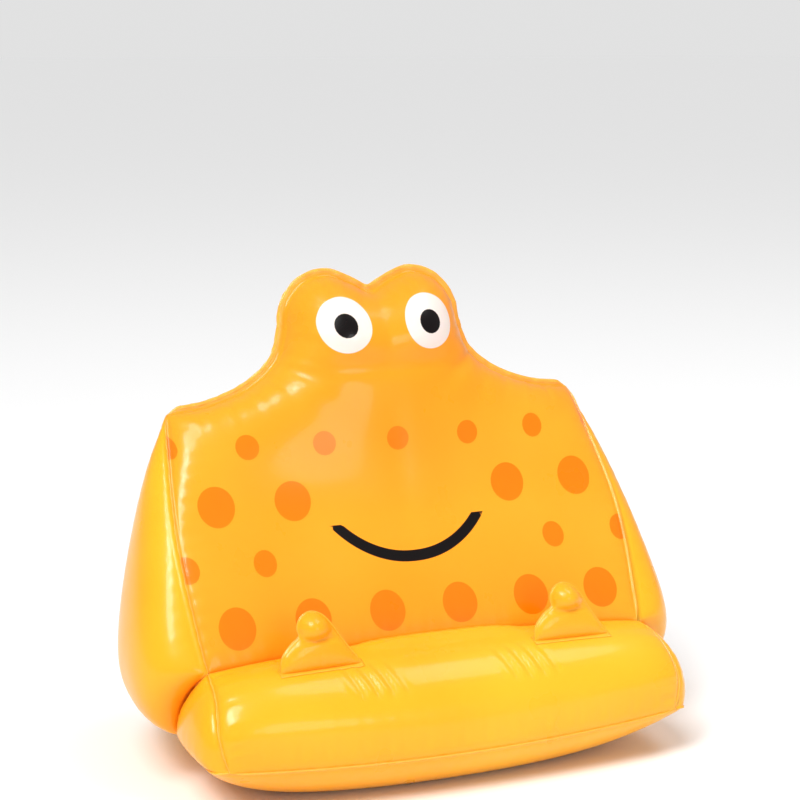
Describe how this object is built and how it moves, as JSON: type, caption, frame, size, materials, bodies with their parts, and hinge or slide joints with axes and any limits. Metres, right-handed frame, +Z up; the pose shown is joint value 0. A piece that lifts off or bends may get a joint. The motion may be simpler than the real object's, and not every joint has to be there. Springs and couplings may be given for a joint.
{
  "type": "inflatable tablet and book rest",
  "caption": "Inflatable cushion stand shaped like a friendly monster, with a leaning face, a front roll and two claws that hold a tablet or book; air valve in the back.",
  "frame": {"origin": "middle of the box's underside, on the flat underside of the base", "axes": "+X across the stand to the right as seen from its face, +Y from the face to the back, +Z up"},
  "size_m": [0.3458, 0.2078, 0.2836],
  "materials": {
    "printed_film": "gloss",
    "film": "gloss",
    "claw_film": "gloss",
    "web_film": "satin",
    "valve_plastic": "satin"
  },
  "bodies": {
    "cushion": {"face_panel": "printed_film", "back_panel": "film", "gusset_left": "film", "gusset_right": "film", "roll_panel": "film", "roll_end_left": "film", "roll_end_right": "film", "base_panel": "film", "crease_web": "web_film", "centre_tie_web": "web_film", "claw_left_foot": "claw_film", "claw_right_foot": "claw_film", "valve_flange": "valve_plastic"},
    "claw_left": {"claw_left_front": "claw_film", "claw_left_back": "claw_film"},
    "claw_right": {"claw_right_front": "claw_film", "claw_right_back": "claw_film"},
    "stem": {"valve_stem": "valve_plastic"},
    "plug": {"valve_plug": "valve_plastic"},
    "flap": {"valve_flap": "valve_plastic"}
  },
  "joints": [
    {"name": "claw_left_flex", "type": "hinge", "parent": "cushion", "child": "claw_left", "pos_m": [-0.07757, -0.07426, 0.07728], "axis": [0.9998, 0.0026, 0.0186], "range_deg": [0, 45], "stiffness_Nm_per_rad": 0.05},
    {"name": "claw_right_flex", "type": "hinge", "parent": "cushion", "child": "claw_right", "pos_m": [0.07757, -0.07426, 0.07727], "axis": [0.9998, -0.0026, -0.0186], "range_deg": [0, 45], "stiffness_Nm_per_rad": 0.05},
    {"name": "stem_slide", "type": "slide", "parent": "cushion", "child": "stem", "axis": [0, 0.9707, 0.2402], "range_m": [0, 0.0108]},
    {"name": "plug_strap_hinge", "type": "hinge", "parent": "stem", "child": "plug", "pos_m": [0, 0.09956, 0.09297], "axis": [-1, 0, 0], "range_deg": [0, 150]},
    {"name": "flap_hinge", "type": "hinge", "parent": "stem", "child": "flap", "pos_m": [0, 0.08238, 0.09388], "axis": [1, 0, 0], "range_deg": [0, 40], "stiffness_Nm_per_rad": 0.0005}
  ]
}
